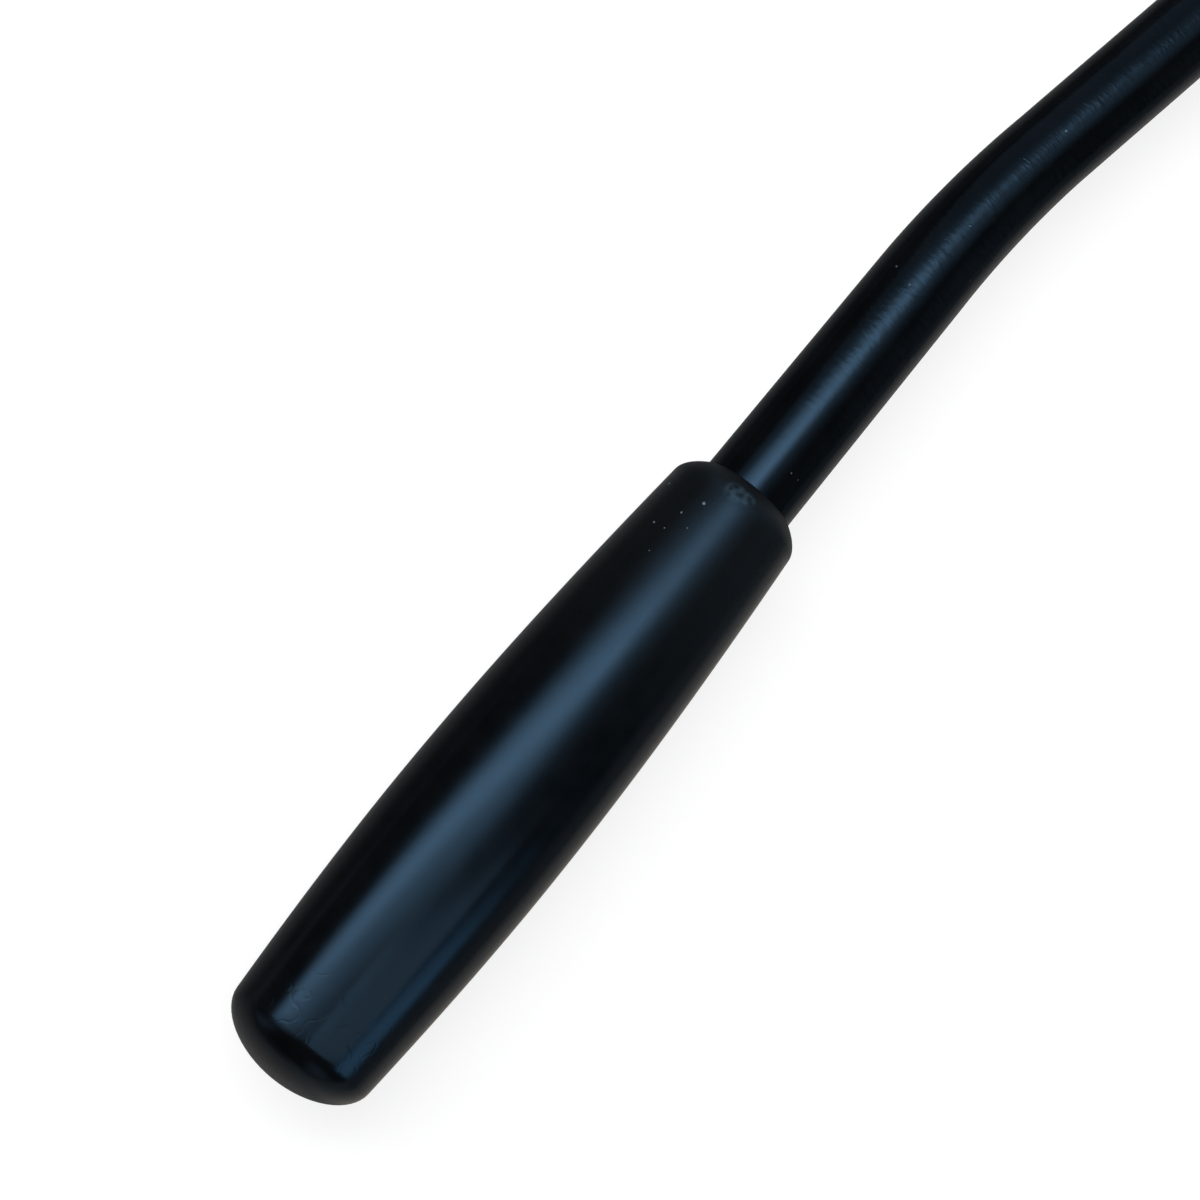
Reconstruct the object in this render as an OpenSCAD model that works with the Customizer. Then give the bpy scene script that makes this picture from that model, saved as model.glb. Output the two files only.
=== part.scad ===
// Pan handle for a tripod head: a bent tube with a tapered grip at one end and, at the
// other, a toothed rosette that a captive screw with a ratchet lever clamps to the head.
//
// Millimetres. The Z axis is the clamp axis and z = 0 is the crest plane of the rosette
// teeth. The lever is up. The bar leaves the clamp along +X and bends towards +Y. The tube
// gets thinner from the grip, through the bend, to its straight root.

/* [Bar] */
// Outer diameter of the bar inside the grip and at its mouth
bar_od = 16; // [15.2:0.1:17.4]
// Outer diameter where the bend begins, on the side of the grip
bend_od = 15.5; // [14.6:0.1:16]
// Outer diameter of the straight root
root_od = 14.4; // [13.4:0.1:15.6]
// Wall of the bar's tube
bar_wall = 1.5; // [1:0.1:2]
// Straight run from the end fitting to the bend
root_run = 128; // [60:1:240]
// Radius of the bend, on the axis of the bar
bend_radius = 190; // [80:1:300]
// Angle of the bend
bend_angle = 9.4; // [4:0.1:30]
// Straight run from the bend to the mouth of the grip
grip_run = 46.2; // [20:0.2:120]

/* [Grip] */
// Length of the grip from its domed end to its mouth
grip_length = 116.4; // [105:0.2:140]
// Radius at the fullest point of the grip
grip_belly_r = 14.45; // [13.6:0.05:17]
// Distance from the domed end to the fullest point
grip_belly_at = 49.5; // [35:0.5:65]
// Radius that the taper reaches at the domed end
grip_end_r = 12.3; // [11.5:0.1:13.5]
// Radius that the taper reaches at the mouth
grip_mouth_r = 11.25; // [10.6:0.05:13]
// Length of the dome
dome_depth = 7.2; // [4:0.1:12]
// Length of the rounded shoulder at the mouth
shoulder_length = 3.8; // [1.5:0.1:8]
// Curve of the shoulder: 1 is a plain chamfer, 2 a full round
shoulder_curve = 1.9; // [1.2:0.1:3]
// Width of the flat lip round the bar
mouth_lip = 0.4; // [0.4:0.1:1.2]
// Chamfer where the bar enters the mouth
mouth_chamfer = 0.25; // [0.1:0.05:0.3]
// Solid rubber between the dome and the bottom of the socket
grip_end_wall = 15.4; // [12.4:0.2:40]
// Glue gap between the bar and the socket, on the radius
glue_gap = 0.05; // [0.02:0.01:0.2]

/* [Bar plug] */
// Length of the plug inside the tube
plug_length = 12; // [6:0.5:20]
// Thickness of the plug's head
plug_head = 1.6; // [1:0.1:3]
// Wall of the hollow plug
plug_wall = 1.4; // [1:0.1:2]

/* [End fitting] */
// Radius of the round eye
eye_r = 16; // [15.5:0.5:19]
// Height of the eye's underside above the tooth crests
eye_lift = 1.5; // [1.2:0.1:2.5]
// Rounding of the edges of the eye
eye_round = 2; // [0.5:0.1:3]
// Distance from the clamp axis to the end of the tube
fitting_reach = 26; // [22:1:40]
// Height of the eye
eye_height = 16; // [14:0.5:18]
// Radius of the neck where it leaves the eye
neck_r = 6.4; // [5.6:0.1:6.7]
// Height of the flat web between the eye and the neck
web_height = 10.4; // [6:0.2:12]
// Length of the spigot inside the tube
spigot_length = 26; // [20:1:40]
// Slack of the spigot and the plug in the tube, on the radius
spigot_slack = 0.05; // [0.02:0.01:0.15]
// Diameter of the two slotted pins
pin_d = 3; // [2:0.5:4]
// Distance from the end of the tube to the first pin
pin_inset = 7; // [5:0.5:10]
// Spacing of the pins
pin_pitch = 11; // [8:0.5:12]

/* [Rosette] */
// Number of teeth
tooth_count = 36; // [24:1:60]
// Outer radius of the toothed ring
ring_r = 14.8; // [14:0.1:15]
// Inner radius of the teeth
tooth_inner_r = 10.4; // [10.2:0.1:12]
// Share of the tooth pitch that stays flat as the crest
crest_share = 0.15; // [0.05:0.01:0.4]
// Half angle of the grooves between the teeth
groove_half_angle = 45; // [35:1:60]
// Depth of the recess that the ring lies in
ring_recess = 2; // [1.6:0.1:3]
// Radius of the hole in the middle of the ring
ring_hole_r = 4.9; // [4.8:0.1:5.1]
// Slack round the ring in its recess
ring_slack = 0.1; // [0.05:0.01:0.3]
// Number of countersunk screws
ring_screw_count = 3; // [2:1:6]
// Distance of the screws from the clamp axis
ring_screw_at = 7.65; // [7.5:0.05:7.8]
// Diameter of the screws
ring_screw_d = 2.5; // [2:0.1:2.6]
// Length of the screws
ring_screw_length = 6; // [4:0.5:6]

/* [Clamp screw] */
// Diameter of the thread
thread_d = 8; // [6:0.5:8]
// Length of the thread
thread_length = 10; // [8:0.5:14]
// Diameter of the shank above the thread
shank_d = 6.2; // [5:0.1:6.4]
// Height of the land that keeps the thread captive
captive_land = 4; // [2:0.1:5]
// Depth of the clearance below the land
captive_recess = 1; // [0.8:0.1:2]
// Slack of the shank in the land, on the radius
shank_slack = 0.25; // [0.1:0.05:0.4]
// Travel of the screw when it is pushed down
push_travel = 6; // [3:0.5:7]

/* [Return spring and washers] */
// Radius of the spring pocket in the eye
pocket_r = 7.5; // [7.2:0.1:8.5]
// Wire of the return spring
return_wire = 1.2; // [0.8:0.1:1.4]
// Mean radius of the return spring
return_r = 5.8; // [5.4:0.1:6.4]
// Turns of the return spring
return_turns = 5.5; // [4:0.25:6]
// Thickness of the steel washer
washer_t = 1.5; // [1:0.1:2]
// Radius of the steel washer
washer_r = 9; // [8.4:0.1:10]
// Thickness of the nylon washer
glide_t = 0.8; // [0.5:0.1:1.5]
// Radius of the nylon washer
glide_r = 7.8; // [6:0.1:8]

/* [Ratchet] */
// Number of splines
spline_count = 24; // [16:1:36]
// Radius over the splines of the hub
spline_tip_r = 7; // [6.6:0.1:7.2]
// Depth of the splines
spline_depth = 0.7; // [0.5:0.05:0.8]
// Engaged length of the splines
spline_length = 3.6; // [2.5:0.1:5]
// Gap between the splines of the hub and the lever, on the radius
spline_gap = 0.15; // [0.1:0.01:0.2]
// Radius of the hub's flange
hub_flange_r = 8; // [7.8:0.1:8.4]
// Height of the hub's flange
hub_flange_t = 5.5; // [4:0.1:8]
// Depth of the hub's socket for the clamp screw
hub_socket = 5; // [3:0.1:5.5]
// Diameter of the pin that holds the hub on the clamp screw
hub_pin_d = 2; // [1.5:0.1:2.4]
// Lift that frees the lever from the hub
lever_lift = 4.2; // [3.8:0.1:6]

/* [Lever] */
// Radius of the barrel at its foot
barrel_foot_r = 10.2; // [9.8:0.1:12]
// Radius of the barrel at its top
barrel_top_r = 8.2; // [7.5:0.1:9.5]
// Gap between the hub's flange and the barrel
barrel_gap = 0.3; // [0.2:0.05:0.5]
// Thickness of the web that the lever spring presses on
lever_web = 2; // [1.5:0.1:3]
// Distance from the clamp axis to the tip of the arm
arm_reach = 64; // [45:1:90]
// Slope of the arm
arm_slope = 14; // [0:1:25]
// Radius of the arm at its waist
arm_waist_r = 4; // [3.4:0.1:4.6]
// Radius of the rounded end of the arm
arm_end_r = 5.8; // [5:0.1:7]
// Width over the flattened sides of the arm
arm_width = 9; // [7:0.5:12]
// Direction of the arm at rest, seen from above
arm_direction = -90; // [-180:5:180]

/* [Lever screw and spring] */
// Diameter of the retaining screw
lever_screw_d = 5; // [4:0.1:5.2]
// Diameter of its head
lever_screw_head_d = 8.5; // [8:0.1:9]
// Height of its head
lever_screw_head = 2.6; // [2:0.1:3.5]
// Length of its thread in the hub
lever_screw_grip = 4.6; // [3:0.1:5]
// Radius of the pocket round the lever spring
lever_pocket_r = 4.8; // [4.6:0.1:5.4]
// Wire of the lever spring
lever_wire = 0.7; // [0.5:0.1:0.8]
// Mean radius of the lever spring
lever_spring_r = 3.8; // [3.7:0.1:4]
// Turns of the lever spring
lever_spring_turns = 4; // [3:0.25:4.5]
// Length of the lever spring when the lever is fully lifted
lever_spring_least = 3.6; // [3.2:0.1:6]

/* [Hidden] */

$fn = 64;

// A small running or seating gap between pieces that turn or slide on each other
seat_gap = 0.05;
// How far a cutter runs past the face that it opens
past = 1;

// Bar
bar_r = bar_od / 2;
bend_r = bend_od / 2;
root_r = root_od / 2;
bar_z = eye_lift + eye_height / 2;
bend_start = fitting_reach + root_run;
// Bending draws the wall a little thinner
bend_thinning = 0.02;
bend_lap = 0.5;
bend_ring_count = 8;
bend_facet_count = 48;
socket_depth = grip_length - grip_end_wall;
tube_in_grip = socket_depth - plug_head;

// End fitting
eye_top = eye_lift + eye_height;
spigot_r = root_r - bar_wall - spigot_slack;
spigot_chamfer = 0.8;
web_foot = 13.4;
web_start = 3;
web_tip = 6.4;
web_end = fitting_reach - 1.5;
pin_r = pin_d / 2;
pin_slack = 0.02;
pin_length = root_od - 0.4;
pin_wall = 0.6;
pin_slot = 0.5;

// Rosette
ring_back = eye_lift + ring_recess;
groove_angle = 180 / tooth_count * (1 - crest_share);
groove_tilt = asin(tan(groove_angle) / tan(groove_half_angle));
groove_height = 1.3 * ring_r * sin(groove_tilt);
ring_screw_r = ring_screw_d / 2;
ring_screw_head_r = 0.94 * ring_screw_d;
ring_screw_slack = 0.04;
ring_key_r = 0.34 * ring_screw_d;
ring_key_depth = 0.32 * ring_screw_d;

// Clamp screw, from its tip upwards
thread_r = thread_d / 2;
thread_chamfer = 0.8;
captive_z = ring_back + captive_recess;
tip_z = captive_z - thread_length;
pocket_floor = captive_z + captive_land;
shank_r = shank_d / 2;

// Stack above the eye, at rest
push_clearance = 0.2;
washer_z = eye_top + push_travel + push_clearance;
glide_z = washer_z + washer_t;
hub_z = glide_z + glide_t + seat_gap;
washer_hole_r = shank_r + shank_slack;
washer_chamfer = 0.25;

// Ratchet hub
hub_neck = 1.6;
spline_z = hub_z + hub_flange_t + hub_neck;
hub_top = spline_z + spline_length;
hub_chamfer = 0.4;
spline_root_r = spline_tip_r - spline_depth;
hub_neck_r = spline_root_r - 0.3;
lever_screw_r = lever_screw_d / 2;
hole_slack = 0.04;
hub_pin_z = hub_z + hub_socket / 2;
hub_pin_r = hub_pin_d / 2;
hub_pin_length = 2 * hub_flange_r - 0.4;

// Lever
barrel_z = hub_z + 0.3;
barrel_bore_r = hub_flange_r + barrel_gap;
lever_web_z = hub_top + seat_gap;
lever_pocket_z = lever_web_z + lever_web;
spring_room = lever_spring_least + lever_lift;
screw_head_z = lever_pocket_z + spring_room;
barrel_top = screw_head_z + lever_screw_head + 0.3;
barrel_round = 1.6;
arm_drop = 3.4;
arm_root_z = lever_pocket_z + arm_drop;
arm_root_r = arm_waist_r + 0.9;
arm_waist_at = 20;
screw_slot_w = 1.2;
screw_slot_d = 1.2;

black = "#17181a";
steel = "#a8abae";
dark_steel = "#5b5d60";
white_nylon = "#dcdad2";

// Points of an arc about c, from angle a to angle b
function arc(c, r, a, b, steps = 6) =
    [for (i = [0 : steps]) c + r * [cos(a + (b - a) * i / steps), sin(a + (b - a) * i / steps)]];

// Rod along +X that starts at x
module rod(x, length, r) {
    translate([x, 0, 0])
        rotate([0, 90, 0])
            cylinder(h = length, r = r);
}

// ---- Wire springs ----

// Height of the wire's centre after t turns: the first and last turn lie closer together
function coil_rise(t, turns, rise, end_pitch) =
    t < 1 ? t * end_pitch
    : t > turns - 1 ? rise - (turns - t) * end_pitch
    : end_pitch + (t - 1) * (rise - 2 * end_pitch) / (turns - 2);

// Rings of the wire's centre line, eight to a turn
coil_rings = 8;
coil_sides = 6;

function coil_line(r, turns, rise, end_pitch) =
    [for (i = [0 : turns * coil_rings])
        let (t = i / coil_rings)
        [r * cos(360 * t), r * sin(360 * t), coil_rise(t, turns, rise, end_pitch)]];

// Smallest gap between the wire and its own next turns
function coil_least_gap(line, wire) =
    min([for (i = [0 : len(line) - 1])
        for (j = [i + coil_rings - 2 : 1 : len(line) - 1])
            norm(line[j] - line[i]) - wire]);

// Compression spring that stands on z = 0 and is as tall as height
module coil_spring(r, wire, turns, height, end_pitch) {
    line = coil_line(r, turns, height - wire, end_pitch);
    last = len(line) - 1;
    points = [for (i = [0 : last])
        for (k = [0 : coil_sides - 1])
            let (turn = 360 * i / coil_rings, side = 90 + 360 * k / coil_sides)
            line[i] + [0, 0, wire / 2]
            + wire / 2 * [cos(side) * cos(turn), cos(side) * sin(turn), sin(side)]];
    walls = [for (i = [0 : last - 1])
        for (k = [0 : coil_sides - 1])
            let (a = i * coil_sides + k, b = i * coil_sides + (k + 1) % coil_sides)
            each [[a, b, b + coil_sides], [a, b + coil_sides, a + coil_sides]]];
    first_cap = [for (k = [1 : coil_sides - 2]) [0, k + 1, k]];
    end = last * coil_sides;
    last_cap = [for (k = [1 : coil_sides - 2]) [end, end + k, end + k + 1]];
    polyhedron(points, concat(walls, first_cap, last_cap));
}

return_height = washer_z - pocket_floor;
return_end_pitch = return_wire + 0.6;
lever_end_pitch = lever_wire + 0.6;
echo(
    return_spring_least_gap = coil_least_gap(
        coil_line(return_r, return_turns, return_height - return_wire, return_end_pitch),
        return_wire),
    lever_spring_least_gap = coil_least_gap(
        coil_line(lever_spring_r, lever_spring_turns, spring_room - lever_wire, lever_end_pitch),
        lever_wire));

// ---- Bar ----

// Tube along +X from x, whose outer radius goes from r1 to r2
module tube(x, length, r1, r2) {
    translate([x, 0, 0])
        rotate([0, 90, 0])
            rotate_extrude()
                polygon([
                    [r1 - bar_wall, 0],
                    [r1, 0],
                    [r2, length],
                    [r2 - bar_wall, length]
                ]);
}

// Places its children at the end of the bend, with +X along the bar towards the grip
module after_bend() {
    translate([bend_start, bend_radius, bar_z])
        rotate([0, 0, bend_angle])
            translate([0, -bend_radius, 0])
                children();
}

// Ring of points round the bend's axis, at a share t of the bend
function bend_ring(t, r) =
    let (turn = bend_angle * t)
    [for (k = [0 : bend_facet_count - 1])
        let (side = 360 * k / bend_facet_count, reach = bend_radius - r * cos(side))
        [reach * sin(turn), bend_radius - reach * cos(turn), r * sin(side)]];

// Quads between two rings that start at points a and b, seen from outside, as triangles
function ring_faces(a, b) =
    [for (k = [0 : bend_facet_count - 1])
        let (next = (k + 1) % bend_facet_count)
        each [[a + k, b + k, b + next], [a + k, b + next, a + next]]];

// The bent stretch of the tube, which gets wider from the root to the grip. Its wall is set
// back a little on both faces, so that the straight runs lap over its ends.
module bent_tube() {
    outer = [for (i = [0 : bend_ring_count])
        let (t = i / bend_ring_count)
        each bend_ring(t, root_r + (bend_r - root_r) * t - bend_thinning)];
    inner = [for (i = [0 : bend_ring_count])
        let (t = i / bend_ring_count)
        each bend_ring(t, root_r + (bend_r - root_r) * t - bar_wall + bend_thinning)];
    bore = len(outer);
    last = bend_ring_count * bend_facet_count;
    faces = concat(
        [for (i = [0 : bend_ring_count - 1])
            each ring_faces(i * bend_facet_count, (i + 1) * bend_facet_count)],
        [for (i = [0 : bend_ring_count - 1])
            each ring_faces(bore + (i + 1) * bend_facet_count, bore + i * bend_facet_count)],
        ring_faces(bore, 0),
        ring_faces(last, bore + last));
    polyhedron(concat(outer, inner), faces);
}

// Holes for the slotted pins, across the bar
module pin_holes(r) {
    for (i = [0, 1])
        translate([fitting_reach + pin_inset + i * pin_pitch, 0, bar_z])
            rotate([90, 0, 0])
                cylinder(h = root_od + 2 * past, r = r, center = true);
}

// The bent aluminium tube, coated black: the straight runs lap a little way over the bend
module handle_bar() {
    color(black)
        union() {
            difference() {
                translate([0, 0, bar_z])
                    tube(fitting_reach, root_run + bend_lap, root_r, root_r);
                pin_holes(pin_r);
            }
            translate([bend_start, 0, bar_z])
                bent_tube();
            after_bend() {
                tube(-bend_lap, bend_lap + grip_run, bend_r, bar_r);
                tube(grip_run, tube_in_grip, bar_r, bar_r);
            }
        }
}

// Hollow plastic plug that closes the tube inside the grip
module bar_plug() {
    plug_r = bar_r - bar_wall - spigot_slack;
    head_r = bar_r - 0.3;
    color(dark_steel)
        after_bend()
            translate([grip_run + tube_in_grip, 0, 0])
                rotate([0, 90, 0])
                    rotate_extrude()
                        polygon([
                            [0, plug_head],
                            [0, -plug_wall],
                            [plug_r - plug_wall, -plug_wall],
                            [plug_r - plug_wall, -plug_length],
                            [plug_r - 0.4, -plug_length],
                            [plug_r, -plug_length + 1],
                            [plug_r, 0],
                            [head_r, 0],
                            [head_r, plug_head]
                        ]);
}

// ---- Grip ----

// Share of the taper's drop at a share u of the way from the fullest point
function taper(u) = (sqrt(1 + u * u) - 1) / (sqrt(2) - 1);

// Radius of the grip at a distance x from its domed end
function body_r(x) =
    x < grip_belly_at
    ? grip_belly_r - (grip_belly_r - grip_end_r) * taper((grip_belly_at - x) / grip_belly_at)
    : grip_belly_r - (grip_belly_r - grip_mouth_r)
        * taper((x - grip_belly_at) / (grip_length - grip_belly_at));

// Closing of the dome: an ellipse that meets the body smoothly
function dome(x) = sqrt(1 - pow(1 - x / dome_depth, 2));

// Drop of the shoulder at a distance x from the domed end
function shoulder_drop(x) =
    (grip_mouth_r - bar_r - mouth_lip)
    * pow(max(0, 1 - (grip_length - x) / shoulder_length), shoulder_curve);

dome_steps = 10;
body_steps = 26;
shoulder_steps = 8;

// Half outline of the grip, from the tip of the dome to the lip of its mouth
function grip_outline() =
    let (body_end = grip_length - shoulder_length)
    concat(
        [for (i = [0 : dome_steps])
            let (x = dome_depth * (1 - cos(90 * i / dome_steps)))
            [body_r(x) * dome(x), x]],
        [for (i = [1 : body_steps])
            let (x = dome_depth + (body_end - dome_depth) * i / body_steps)
            [body_r(x), x]],
        [for (i = [1 : shoulder_steps])
            let (x = body_end + shoulder_length * i / shoulder_steps)
            [body_r(x) - shoulder_drop(x), x]]);

// The moulded rubber grip, glued on the bar
module grip() {
    bore_r = bar_r + glue_gap;
    color(black)
        after_bend()
            translate([grip_run + grip_length, 0, 0])
                rotate([0, -90, 0])
                    difference() {
                        rotate_extrude()
                            polygon(concat(grip_outline(), [[0, grip_length]]));
                        translate([0, 0, grip_length - socket_depth])
                            cylinder(h = socket_depth + past, r = bore_r);
                        translate([0, 0, grip_length - mouth_chamfer])
                            cylinder(h = 2 * mouth_chamfer, r1 = bore_r, r2 = bore_r + 2 * mouth_chamfer);
                    }
}

// ---- End fitting ----

// Solid of the round eye with rounded edges
module eye_body() {
    round_x = eye_r - eye_round;
    rotate_extrude()
        polygon(concat(
            [[0, eye_lift]],
            arc([round_x, eye_lift + eye_round], eye_round, -90, 0),
            arc([round_x, eye_top - eye_round], eye_round, 0, 90),
            [[0, eye_top]]));
}

// Flared web from the neck into the eye: a cone with a flat top and bottom
module eye_web() {
    intersection() {
        translate([web_start, 0, bar_z])
            rotate([0, 90, 0])
                cylinder(h = web_end - web_start, r1 = web_foot, r2 = web_tip);
        translate([0, -eye_r, bar_z - web_height / 2])
            cube([fitting_reach, 2 * eye_r, web_height]);
    }
}

// Countersunk holes of the rosette ring, spread round the clamp axis
module at_ring_screws() {
    for (i = [0 : ring_screw_count - 1])
        rotate([0, 0, 60 + 360 * i / ring_screw_count])
            translate([ring_screw_at, 0, eye_lift])
                children();
}

// The cast aluminium eye, neck and spigot
module end_fitting() {
    neck_start = 6;
    color(black)
        difference() {
            union() {
                eye_body();
                eye_web();
                translate([neck_start, 0, bar_z])
                    rotate([0, 90, 0])
                        cylinder(h = fitting_reach - neck_start, r1 = neck_r, r2 = root_r);
                translate([0, 0, bar_z])
                    rod(fitting_reach - 1, spigot_length + 1 - spigot_chamfer, spigot_r);
                translate([fitting_reach + spigot_length - spigot_chamfer, 0, bar_z])
                    rotate([0, 90, 0])
                        cylinder(h = spigot_chamfer, r1 = spigot_r, r2 = spigot_r - spigot_chamfer);
            }
            translate([0, 0, eye_lift - past])
                cylinder(h = ring_recess + past, r = ring_r + ring_slack);
            translate([0, 0, eye_lift])
                cylinder(h = captive_z - eye_lift, r = ring_hole_r);
            translate([0, 0, eye_lift])
                cylinder(h = eye_top, r = shank_r + shank_slack);
            translate([0, 0, pocket_floor])
                cylinder(h = eye_top, r = pocket_r);
            at_ring_screws()
                cylinder(h = ring_screw_length + 0.4, r = ring_screw_r + ring_screw_slack);
            pin_holes(pin_r);
        }
}

// Slotted spring pins that hold the spigot in the tube
module fitting_pins() {
    slotted_r = pin_r - pin_slack;
    color(steel)
        for (i = [0, 1])
            translate([fitting_reach + pin_inset + i * pin_pitch, 0, bar_z])
                rotate([90, 0, 0])
                    difference() {
                        cylinder(h = pin_length, r = slotted_r, center = true);
                        cylinder(h = pin_length + past, r = slotted_r - pin_wall, center = true);
                        translate([0, -pin_slot / 2, -pin_length])
                            cube([pin_d, pin_slot, 2 * pin_length]);
                    }
}

// ---- Rosette ----

// Cutter of one groove: its floor runs through the crest plane on the clamp axis, so each
// groove gets wider and deeper towards the rim
module tooth_groove() {
    floor_start = tooth_inner_r - 1;
    half_width = groove_height * tan(groove_half_angle);
    rotate([0, 90 - groove_tilt, 0])
        translate([0, 0, floor_start])
            linear_extrude(ring_r + 2 - floor_start)
                polygon([[0, 0], [groove_height, half_width], [groove_height, -half_width]]);
}

// The steel ring with radial teeth on its underside
module rosette_ring() {
    color(steel)
        difference() {
            rotate_extrude()
                polygon([
                    [ring_hole_r, eye_lift],
                    [tooth_inner_r, eye_lift],
                    [tooth_inner_r, 0],
                    [ring_r, 0],
                    [ring_r, ring_back],
                    [ring_hole_r, ring_back]
                ]);
            for (i = [0 : tooth_count - 1])
                rotate([0, 0, 360 * i / tooth_count])
                    tooth_groove();
            at_ring_screws()
                ring_screw_shape(ring_screw_slack, past);
        }
}

// Outline of a countersunk screw whose head face lies at z = 0, grown by a slack
module ring_screw_shape(slack, above) {
    head_r = ring_screw_head_r + slack;
    stem_r = ring_screw_r + slack;
    rotate_extrude()
        polygon([
            [0, -above],
            [head_r, -above],
            [head_r, 0],
            [stem_r, head_r - stem_r],
            [stem_r, ring_screw_length],
            [0, ring_screw_length]
        ]);
}

// Countersunk screws with a hexagon socket
module rosette_screws() {
    color(dark_steel)
        at_ring_screws()
            difference() {
                ring_screw_shape(0, 0);
                translate([0, 0, -past])
                    cylinder(h = ring_key_depth + past, r = ring_key_r, $fn = 6);
            }
}

// ---- Clamp screw, springs and washers ----

// The captive screw: thread, thinner shank, and its end in the hub
module clamp_screw() {
    color(steel)
        difference() {
            rotate_extrude()
                polygon([
                    [0, tip_z],
                    [thread_r - thread_chamfer, tip_z],
                    [thread_r, tip_z + thread_chamfer],
                    [thread_r, captive_z - seat_gap],
                    [shank_r, captive_z - seat_gap],
                    [shank_r, hub_z + hub_socket],
                    [0, hub_z + hub_socket]
                ]);
            hub_pin_hole();
        }
}

// Spring that pushes the screw out of the head
module return_spring() {
    color(steel)
        translate([0, 0, pocket_floor])
            coil_spring(return_r, return_wire, return_turns, return_height, return_end_pitch);
}

// Flat ring with small chamfers
module washer(z, hole_r, r, t) {
    translate([0, 0, z])
        rotate_extrude()
            polygon([
                [hole_r, 0],
                [r - washer_chamfer, 0],
                [r, washer_chamfer],
                [r, t - washer_chamfer],
                [r - washer_chamfer, t],
                [hole_r, t]
            ]);
}

// Steel washer that the return spring pushes on
module thrust_washer() {
    color(steel)
        washer(washer_z, washer_hole_r, washer_r, washer_t);
}

// Nylon washer that the hub turns on
module glide_washer() {
    color(white_nylon)
        washer(glide_z, washer_hole_r, glide_r, glide_t);
}

// ---- Ratchet ----

// Splined outline: flat tips and flat roots
module spline_section(tip_r, root_r) {
    pitch = 360 / spline_count;
    polygon([for (i = [0 : spline_count - 1])
        for (corner = [[-0.13, tip_r], [0.13, tip_r], [0.37, root_r], [0.63, root_r]])
            corner[1] * [cos((i + corner[0]) * pitch), sin((i + corner[0]) * pitch)]]);
}

// Cross hole through the hub and the end of the clamp screw
module hub_pin_hole() {
    translate([0, 0, hub_pin_z])
        rotate([90, 0, 0])
            cylinder(h = 2 * hub_flange_r + 2 * past, r = hub_pin_r, center = true);
}

// Pin that makes the clamp screw turn with the hub
module hub_pin() {
    color(steel)
        translate([0, 0, hub_pin_z])
            rotate([90, 0, 0])
                cylinder(h = hub_pin_length, r = hub_pin_r - pin_slack, center = true);
}

// The steel hub: plain flange, relieved neck and outer splines
module ratchet_hub() {
    color(dark_steel)
        difference() {
            union() {
                translate([0, 0, hub_z])
                    cylinder(h = hub_flange_t - hub_chamfer, r = hub_flange_r);
                translate([0, 0, hub_z + hub_flange_t - hub_chamfer])
                    cylinder(h = hub_chamfer, r1 = hub_flange_r, r2 = hub_flange_r - hub_chamfer);
                translate([0, 0, hub_z + 1])
                    cylinder(h = spline_z - hub_z, r = hub_neck_r);
                translate([0, 0, spline_z])
                    linear_extrude(spline_length)
                        spline_section(spline_tip_r, spline_root_r);
            }
            translate([0, 0, hub_z - past])
                cylinder(h = hub_socket + past, r = shank_r + hole_slack);
            translate([0, 0, hub_top - lever_screw_grip - 0.3])
                cylinder(h = lever_screw_grip + past, r = lever_screw_r + hole_slack);
            hub_pin_hole();
        }
}

// Revolved arm along +X, with a waist and a round end, flattened at the sides
module lever_arm() {
    end_at = arm_reach - arm_end_r;
    translate([0, 0, arm_root_z])
        rotate([0, -arm_slope, 0])
            intersection() {
                rotate([0, 90, 0])
                    rotate_extrude()
                        polygon(concat(
                            [[0, 0], [arm_root_r, 0], [arm_waist_r, arm_waist_at]],
                            arc([0, end_at], arm_end_r, 0, 90, 8)));
                translate([-past, -arm_width / 2, -arm_width])
                    cube([arm_reach + 2 * past, arm_width, 2 * arm_width]);
            }
}

// The die-cast lever: a tapered barrel over the hub, with inner splines, and an arm
module clamp_lever() {
    wide = barrel_top_r - barrel_round;
    color(black)
        rotate([0, 0, arm_direction])
            difference() {
                union() {
                    rotate_extrude()
                        polygon(concat(
                            [[0, barrel_z], [barrel_foot_r, barrel_z]],
                            arc([wide, barrel_top - barrel_round], barrel_round, 10, 90),
                            [[0, barrel_top]]));
                    lever_arm();
                }
                translate([0, 0, barrel_z - past])
                    cylinder(h = spline_z - barrel_z + past, r = barrel_bore_r);
                translate([0, 0, barrel_z])
                    linear_extrude(lever_web_z - barrel_z)
                        rotate([0, 0, -arm_direction])
                            spline_section(spline_tip_r + spline_gap, spline_root_r + spline_gap);
                translate([0, 0, barrel_z])
                    cylinder(h = barrel_top, r = lever_screw_r + 0.3);
                translate([0, 0, lever_pocket_z])
                    cylinder(h = barrel_top, r = lever_pocket_r);
            }
}

// Spring that holds the lever down on the hub
module lever_spring() {
    color(steel)
        translate([0, 0, lever_pocket_z])
            coil_spring(lever_spring_r, lever_wire, lever_spring_turns, spring_room, lever_end_pitch);
}

// Slotted screw that keeps the lever and its spring on the hub
module lever_screw() {
    head_r = lever_screw_head_d / 2;
    head_round = 0.6;
    head_top = screw_head_z + lever_screw_head;
    color(steel)
        difference() {
            rotate_extrude()
                polygon(concat(
                    [
                        [0, hub_top - lever_screw_grip],
                        [lever_screw_r, hub_top - lever_screw_grip],
                        [lever_screw_r, screw_head_z],
                        [head_r, screw_head_z]
                    ],
                    arc([head_r - head_round, head_top - head_round], head_round, 0, 90, 3),
                    [[0, head_top]]));
            translate([-lever_screw_head_d, -screw_slot_w / 2, head_top - screw_slot_d])
                cube([2 * lever_screw_head_d, screw_slot_w, screw_slot_d + past]);
        }
}

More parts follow.
